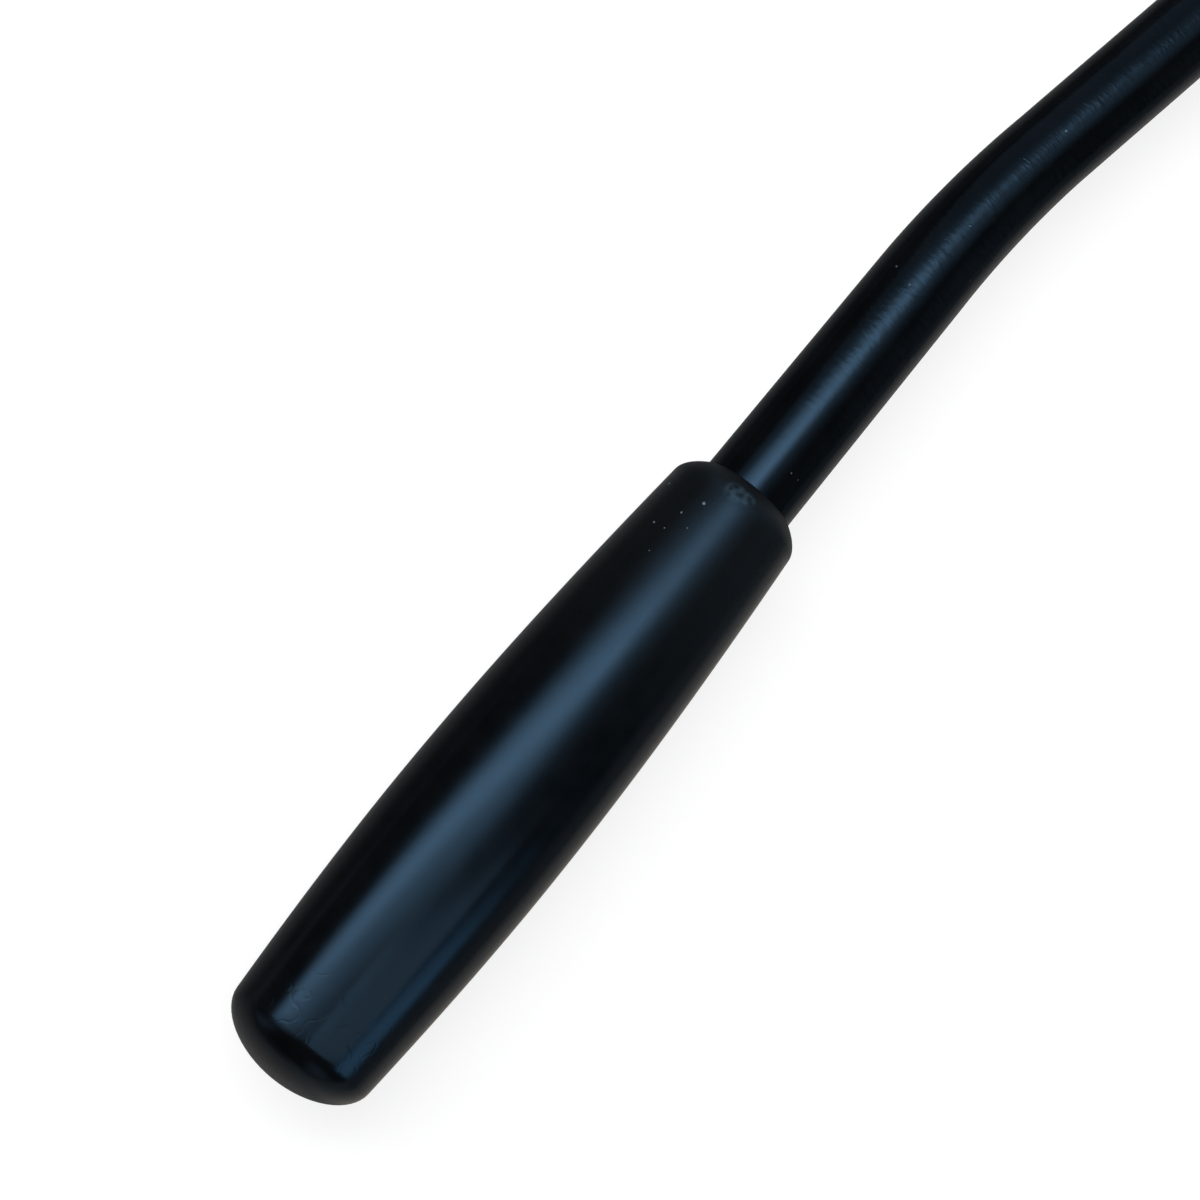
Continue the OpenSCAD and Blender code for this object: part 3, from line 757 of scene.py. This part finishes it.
def bar_place(s):
    """The bar's centre and its direction in plan at a distance s from its foot."""
    root = bend_start - bar_start
    if s < root:
        return Vector((bar_start + s, 0, bar_height)), 0.0
    if s < root + bend_length:
        turn = (s - root) / bend_radius
        return Vector((
            bend_start + bend_radius * math.sin(turn),
            bend_radius * (1 - math.cos(turn)),
            bar_height,
        )), turn
    return past_bend @ Vector((s - root - bend_length, 0, 0)), bend_angle


def bar_outer_r(s):
    """Outer radius of the bar at a distance s from its foot."""
    root = bend_start - bar_start
    if s < root:
        return root_r
    if s < root + bend_length:
        return root_r + (bend_r - root_r) * (s - root) / bend_length
    return min(bar_r, bend_r + (bar_r - bend_r) * (s - root - bend_length) / grip_run)


def lacquered_bar():
    """Points and faces of the tube, rings of the outside first, then rings of the bore."""
    count = int(bar_length / ring_step)
    points, faces = [], []
    for inner in (False, True):
        for i in range(count + 1):
            s = bar_length * i / count
            centre, heading = bar_place(s)
            across = Vector((-math.sin(heading), math.cos(heading), 0))
            for k in range(bar_sides):
                turn = 2 * math.pi * k / bar_sides
                r = bar_outer_r(s) - (bar_wall if inner else 0)
                out = math.cos(turn) * across + Vector((0, 0, math.sin(turn)))
                points.append(centre + r * out)
    rings = count + 1
    for i in range(count):
        for k in range(bar_sides):
            n = (k + 1) % bar_sides
            a, b = i * bar_sides, (i + 1) * bar_sides
            faces.append((a + k, a + n, b + n, b + k))
            a, b = a + rings * bar_sides, b + rings * bar_sides
            faces.append((a + k, b + k, b + n, a + n))
    for i in (0, count):
        for k in range(bar_sides):
            n = (k + 1) % bar_sides
            a, b = i * bar_sides, (i + rings) * bar_sides
            cap = (a + k, b + k, b + n, a + n)
            faces.append(cap if i == 0 else cap[::-1])
    return points, faces


# Marks on the lacquer: how far from the grip's mouth, how many degrees round from the top, and
# radius. The ticks are squeezed along the bar, so that they are short nicks across it.
dot_places = (
    ((0.0057, 22), 0.00014),
    ((0.0057, 34), 0.00010),
    ((0.0417, -10), 0.00016),
    ((0.0432, -38), 0.00018),
    ((0.0557, 0), 0.00013),
    ((0.0787, -2), 0.00022),
)
tick_places = (
    ((0.0497, 50), 0.00040),
    ((0.0512, -8), 0.00045),
    ((0.0497, -4), 0.00045),
    ((0.0702, -7), 0.00060),
    ((0.0762, -8), 0.00040),
    ((0.0772, -5), 0.00045),
    ((0.0842, -10), 0.00045),
)
tick_squeeze = 3.2


def bar_surface(from_mouth, turn):
    """The point on the bar at a distance from the grip's mouth and a turn in degrees from top."""
    s = bend_start - bar_start + bend_length + grip_run - from_mouth
    centre, heading = bar_place(s)
    across = Vector((-math.sin(heading), math.cos(heading), 0))
    turn = math.radians(turn)
    return centre + bar_outer_r(s) * (math.sin(turn) * across + Vector((0, 0, math.cos(turn))))


lacquer_blacks = ((0.35, (0.0018, 0.0020, 0.0023)), (0.7, (0.0028, 0.0031, 0.0036)))
lacquer_dust = (0.061, 0.076, 0.087)
primer_grey = (0.074, 0.091, 0.103)
lacquer_roughness = 0.105
haze_adds = 0.06
cloud_adds = 0.04

# Heights and depths of the relief, in thousandths of a millimetre.
peel_height = 3.6
line_height = 1.8
wrinkle_height = 42
nick_depth = 40
weakest_wrinkles = 0.4


def black_lacquer():
    """Glossy black lacquer over drawn tube: orange peel, faint lines along it, fine uneven
    wrinkles across it through the bend, and a few nicks that show grey primer."""
    material, tree, output = finish_nodes("black_lacquer")
    shader = tree.nodes.new("ShaderNodeBsdfPrincipled")
    where = tree.nodes.new("ShaderNodeTexCoord").outputs["Object"]
    shader.inputs["Specular IOR Level"].default_value = black_gloss
    shader.inputs["Specular Tint"].default_value = black_gloss_tint

    cloud = noise(tree, where, scale=180, detail=3)
    colour = ramp(tree, cloud, *lacquer_blacks)
    dust = specks(tree, where, scale=130, radius=0.05, rarity=0.95)
    colour = mix_colour(tree, dust, colour, lacquer_dust)
    dots = spots(tree, where, [(bar_surface(*place), size) for place, size in dot_places])
    colour = mix_colour(tree, dots, colour, primer_grey)
    tree.links.new(colour, shader.inputs["Base Color"])

    haze = noise(tree, stretched(tree, where, scale=(90, 1600, 1600)), scale=1, detail=4)
    rough = reckon(tree, "MULTIPLY_ADD", haze, haze_adds, lacquer_roughness)
    rough = reckon(tree, "MULTIPLY_ADD", cloud, cloud_adds, rough)
    rough = reckon(tree, "MAXIMUM", rough, rim_haze(tree, face_on=0.14, edge_on=0.25))
    tree.links.new(rough, shader.inputs["Roughness"])

    peel = noise(tree, where, scale=1700, detail=2)
    lines = noise(tree, stretched(tree, where, scale=(30, 3800, 3800)), scale=1, detail=2)
    relief = reckon(tree, "MULTIPLY", lines, line_height)
    relief = reckon(tree, "MULTIPLY_ADD", peel, peel_height, relief)
    bent = seated(tree, (bend_start, 0, bar_height), bend_angle / 2)
    parts = tree.nodes.new("ShaderNodeSeparateXYZ")
    tree.links.new(bent, parts.inputs[0])
    from_bend = parts.outputs["X"]
    wrinkled = reckon(
        tree,
        "MULTIPLY",
        eased(tree, from_bend, at_none=0.074, at_full=0.054),
        eased(tree, from_bend, at_none=-0.060, at_full=-0.030),
    )
    patches = eased(tree, noise(tree, where, scale=190, detail=2), at_none=0.34, at_full=0.66)
    patches = reckon(tree, "MULTIPLY_ADD", patches, 1 - weakest_wrinkles, weakest_wrinkles)
    wrinkles = noise(tree, stretched(tree, bent, scale=(1150, 480, 480)), scale=1, detail=2)
    wrinkles = reckon(tree, "MULTIPLY", wrinkles, wrinkled)
    wrinkles = reckon(tree, "MULTIPLY", wrinkles, patches)
    relief = reckon(tree, "MULTIPLY_ADD", wrinkles, wrinkle_height, relief)
    narrow = stretched(tree, bent, scale=(tick_squeeze, 1, 1))
    unbent = Matrix.Rotation(-bend_angle / 2, 3, "Z")
    ticks = []
    for place, size in tick_places:
        x, y, z = unbent @ (bar_surface(*place) - Vector((bend_start, 0, bar_height)))
        ticks.append(((tick_squeeze * x, y, z), size))
    relief = reckon(tree, "MULTIPLY_ADD", spots(tree, narrow, ticks), -nick_depth, relief)
    tree.links.new(bump(tree, relief), shader.inputs["Normal"])
    tree.links.new(shader.outputs[0], output.inputs["Surface"])
    return material


drill_sides = 32


def drilled(obj, places, r, length):
    """Cuts round holes across the bar, which a pin fills."""
    outline = [(-length / 2, 0), (-length / 2, r), (length / 2, r), (length / 2, 0)]
    for i, (x, z) in enumerate(places):
        drill = turned(f"drill_{i}", outline, drill_sides)
        drill.matrix_world = Matrix.Translation((x, 0, z)) @ Matrix.Rotation(math.pi / 2, 4, "X")
        cut = obj.modifiers.new(f"hole_{i}", "BOOLEAN")
        cut.object = drill
        cut.operation = "DIFFERENCE"
        cut.solver = "EXACT"
        bpy.context.view_layer.update()
        with bpy.context.temp_override(object=obj, active_object=obj):
            bpy.ops.object.modifier_apply(modifier=cut.name)
        bpy.data.objects.remove(drill)


pin_r = 0.0015
pin_from_foot = 0.007
pin_pitch = 0.011
drill_length = 0.03
pin_first = bar_start + pin_from_foot
pin_places = [(pin_first + i * pin_pitch, bar_height) for i in (0, 1)]
bar = mesh_piece("lacquered_bar", *lacquered_bar())
drilled(bar, pin_places, pin_r, drill_length)
bar.data.set_sharp_from_angle(angle=math.radians(sharp_edge))
bar.data.materials.append(black_lacquer())
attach(bar, "handle")
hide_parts("handle_bar")


# ---- Bar plug ----
# A hollow plug of dark plastic, pressed into the end of the tube inside the grip, so that the
# edge of the tube can't cut through the rubber.
def dress(node, material):
    """Gives a piece that keeps its own solid its finish."""
    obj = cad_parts[node]
    obj.data.materials.clear()
    obj.data.materials.append(material)
    return obj


def coated(name, colours, roughness, grain_scale, grain_depth, level=0.5, uneven=0.07):
    """A coat or a plastic with a fine grain, cloudy colour and uneven gloss."""
    material, tree, output = finish_nodes(name)
    shader = tree.nodes.new("ShaderNodeBsdfPrincipled")
    where = tree.nodes.new("ShaderNodeTexCoord").outputs["Object"]
    shader.inputs["Specular IOR Level"].default_value = level
    cloud = noise(tree, where, scale=300, detail=4)
    tone = ramp(tree, cloud, (0.3, colours[0]), (0.72, colours[1]))
    tree.links.new(tone, shader.inputs["Base Color"])
    rough = reckon(tree, "MULTIPLY_ADD", cloud, 2 * uneven, roughness - uneven)
    tree.links.new(rough, shader.inputs["Roughness"])
    grain = noise(tree, where, grain_scale, detail=2)
    tree.links.new(bump(tree, grain, unit=grain_depth), shader.inputs["Normal"])
    tree.links.new(shader.outputs[0], output.inputs["Surface"])
    return material


plug_plastic = coated(
    "plug_plastic",
    colours=((0.040, 0.041, 0.043), (0.058, 0.059, 0.060)),
    roughness=0.45,
    grain_scale=2600,
    grain_depth=0.00001,
)
dress("bar_plug", plug_plastic)


# ---- End fitting ----
# One aluminium casting: the round eye of the clamp, the flat web, the neck and the spigot in
# the tube. It is powder coated black, with the coat's fine pebbled skin.
powder_blacks = ((0.0050, 0.0053, 0.0058), (0.0085, 0.0090, 0.0098))
powder_coat = coated(
    "black_powder_coat",
    colours=powder_blacks,
    roughness=0.42,
    grain_scale=2300,
    grain_depth=0.000045,
    level=0.35,
)
dress("end_fitting", powder_coat)


# ---- Fitting pins ----
# Two slotted spring pins of zinc-plated steel, driven through the tube and the spigot. They are
# a little too wide for their holes, so they stay in by their own spring.
line_depth = 0.000004


def metal(name, colours, roughness, lines=None, uneven=0.08):
    """Bare or plated metal with cloudy tone, and fine lines that follow how it was worked."""
    material, tree, output = finish_nodes(name)
    shader = tree.nodes.new("ShaderNodeBsdfPrincipled")
    where = tree.nodes.new("ShaderNodeTexCoord").outputs["Object"]
    shader.inputs["Metallic"].default_value = 1
    cloud = noise(tree, where, scale=420, detail=4)
    tone = ramp(tree, cloud, (0.3, colours[0]), (0.72, colours[1]))
    tree.links.new(tone, shader.inputs["Base Color"])
    rough = reckon(tree, "MULTIPLY_ADD", cloud, 2 * uneven, roughness - uneven)
    tree.links.new(rough, shader.inputs["Roughness"])
    if lines == "turned":
        parts = tree.nodes.new("ShaderNodeSeparateXYZ")
        tree.links.new(where, parts.inputs[0])
        flat = reckon(tree, "MULTIPLY", parts.outputs["X"], parts.outputs["X"])
        flat = reckon(tree, "MULTIPLY_ADD", parts.outputs["Y"], parts.outputs["Y"], flat)
        radius = reckon(tree, "SQRT", flat)
        ring = tree.nodes.new("ShaderNodeCombineXYZ")
        tree.links.new(radius, ring.inputs["X"])
        tree.links.new(parts.outputs["Z"], ring.inputs["Y"])
        rings = stretched(tree, ring.outputs[0], scale=(7000, 7000, 1))
        relief = noise(tree, rings, scale=1, detail=2)
    elif lines == "drawn":
        relief = noise(tree, stretched(tree, where, scale=(300, 300, 6000)), scale=1, detail=2)
    else:
        relief = noise(tree, where, scale=2400, detail=3)
    tree.links.new(bump(tree, relief, unit=line_depth), shader.inputs["Normal"])
    tree.links.new(shader.outputs[0], output.inputs["Surface"])
    return material


zinc_plate = metal(
    "zinc_plate", colours=((0.50, 0.51, 0.52), (0.62, 0.62, 0.62)), roughness=0.30
)
dress("fitting_pins", zinc_plate)


# ---- Rosette ----
# A hard steel ring with cut radial teeth, zinc plated, let into the eye's underside and held
# by three blackened countersunk screws with hexagon sockets.
dress("rosette_ring", zinc_plate)
blackened_steel = metal(
    "blackened_steel", colours=((0.060, 0.060, 0.064), (0.105, 0.105, 0.11)), roughness=0.38
)
dress("rosette_screws", blackened_steel)


# ---- Return spring ----
# A compression spring of round steel wire in the eye's pocket, which lifts the clamp screw out
# of the head. Its end turns lie close, and it is squeezed as the screw is pushed down.
rings_per_turn = 40
wire_sides = 14


def wire_spring(name, r, wire, turns, low, high, end_pitch):
    """A coil spring of round wire that stands between two heights, with closer end turns."""
    rise = high - low - wire
    points, faces = [], []
    count = int(turns * rings_per_turn)
    slope = (rise - 2 * end_pitch) / (turns - 2)
    for i in range(count + 1):
        t = turns * i / count
        if t < 1:
            climb = t * end_pitch
        elif t > turns - 1:
            climb = rise - (turns - t) * end_pitch
        else:
            climb = end_pitch + (t - 1) * slope
        turn = 2 * math.pi * t
        out = Vector((math.cos(turn), math.sin(turn), 0))
        centre = r * out + Vector((0, 0, low + wire / 2 + climb))
        for k in range(wire_sides):
            side = 2 * math.pi * k / wire_sides
            off_centre = math.cos(side) * out + Vector((0, 0, math.sin(side)))
            points.append(centre + wire / 2 * off_centre)
    for i in range(count):
        for k in range(wire_sides):
            n = (k + 1) % wire_sides
            a, b = i * wire_sides, (i + 1) * wire_sides
            faces.append((a + k, b + k, b + n, a + n))
    faces.append(tuple(range(wire_sides)))
    faces.append(tuple(count * wire_sides + k for k in reversed(range(wire_sides))))
    return mesh_piece(name, points, faces, sharp_above=50)


spring_wire = metal(
    "spring_wire", colours=((0.42, 0.42, 0.43), (0.52, 0.52, 0.52)), roughness=0.26, lines="drawn"
)
return_low, return_high = (c.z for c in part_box("return_spring"))
return_spring = wire_spring(
    "coil_return",
    r=0.0058,
    wire=0.0012,
    turns=5.5,
    low=return_low,
    high=return_high,
    end_pitch=0.0018,
)
return_spring.data.materials.append(spring_wire)
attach(return_spring, "handle")
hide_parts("return_spring")
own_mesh(return_spring)


# ---- Washers ----
# A turned steel washer that the spring pushes on, and one cut from natural nylon under the hub,
# on which the hub turns without scraping the steel.
turned_steel = metal(
    "turned_steel", colours=((0.52, 0.53, 0.54), (0.62, 0.62, 0.62)), roughness=0.24, lines="turned"
)
dress("thrust_washer", turned_steel)
natural_nylon = coated(
    "natural_nylon",
    colours=((0.70, 0.68, 0.62), (0.78, 0.76, 0.70)),
    roughness=0.42,
    grain_scale=1500,
    grain_depth=0.000012,
)
dress("glide_washer", natural_nylon)


# ---- Clamp screw ----
# A captive steel screw with a rolled M8 thread, a thinner shank that runs through the eye's
# land, and its end pinned in the hub.
thread_r = 0.004
thread_pitch = 0.00125
thread_depth = 0.00070
flank_steepness = 1.35
root_flat = 0.12
runout = 0.0008
tip_chamfer = 0.0008
shank_r = 0.0031
shoulder_z = 0.00445
screw_sides = 72
screw_step = 0.0001
screw_low, screw_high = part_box("clamp_screw")


def threaded_screw(name):
    """A screw whose surface is one height map: the thread winds round it and fades at its ends."""
    sides = screw_sides
    low, high = screw_low.z, shoulder_z
    rows = int((high - low) / screw_step)
    points, faces = [], []
    for i in range(rows + 1):
        z = low + (high - low) * i / rows
        for k in range(sides):
            turn = 2 * math.pi * k / sides
            phase = ((z - low) / thread_pitch - turn / (2 * math.pi)) % 1
            ridge = flank_steepness * (1 - abs(2 * phase - 1)) - root_flat
            ridge = min(1.0, max(0.0, ridge))
            fade = min(1.0, max(0.0, (high - z) / runout))
            r = thread_r - thread_depth * (1 - ridge) * fade
            r = min(r, thread_r - tip_chamfer + (z - low))
            points.append((r * math.cos(turn), r * math.sin(turn), z))
    for i in range(rows):
        for k in range(sides):
            n = (k + 1) % sides
            a, b = i * sides, (i + 1) * sides
            faces.append((a + k, a + n, b + n, b + k))
    foot = len(points)
    points.append((0, 0, low))
    faces += [(foot, (k + 1) % sides, k) for k in range(sides)]
    top = rows * sides
    upper = []
    for r, z in ((shank_r, high), (shank_r, screw_high.z)):
        upper.append(len(points))
        points += [
            (r * math.cos(2 * math.pi * k / sides), r * math.sin(2 * math.pi * k / sides), z)
            for k in range(sides)
        ]
    for a, b in ((top, upper[0]), (upper[0], upper[1])):
        faces += [(a + k, a + (k + 1) % sides, b + (k + 1) % sides, b + k) for k in range(sides)]
    head = len(points)
    points.append((0, 0, screw_high.z))
    faces += [(head, upper[1] + k, upper[1] + (k + 1) % sides) for k in range(sides)]
    return mesh_piece(name, points, faces, sharp_above=48)


clamp_screw = threaded_screw("threaded_screw")
clamp_screw.data.materials.append(zinc_plate)
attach(clamp_screw, "clamp")
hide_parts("clamp_screw")


# ---- Ratchet hub ----
# A blackened steel hub with outer splines. A zinc-plated pin, driven across it, fixes it on the
# end of the clamp screw.
dress("ratchet_hub", blackened_steel)
dress("hub_pin", zinc_plate)


# ---- Clamp lever ----
# A die-cast lever, powder coated black, whose inner splines sit on the hub. It is lifted off
# the splines to set it at another angle.
lever_coat = coated(
    "lever_powder_coat",
    colours=powder_blacks,
    roughness=0.34,
    grain_scale=2600,
    grain_depth=0.00003,
    level=0.4,
)
dress("clamp_lever", lever_coat)


# ---- Lever spring and screw ----
# A small spring of steel wire under the head of a slotted, zinc-plated screw, which keeps the
# lever down on the hub.
lever_low, lever_high = (c.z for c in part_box("lever_spring"))
lever_spring = wire_spring(
    "coil_lever",
    r=0.0038,
    wire=0.0007,
    turns=4,
    low=lever_low,
    high=lever_high,
    end_pitch=0.0013,
)
lever_spring.data.materials.append(spring_wire)
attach(lever_spring, "clamp")
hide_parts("lever_spring")
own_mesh(lever_spring)
dull_zinc = metal(
    "dull_zinc", colours=((0.26, 0.27, 0.28), (0.36, 0.36, 0.37)), roughness=0.46, lines="turned"
)
dress("lever_screw", dull_zinc)
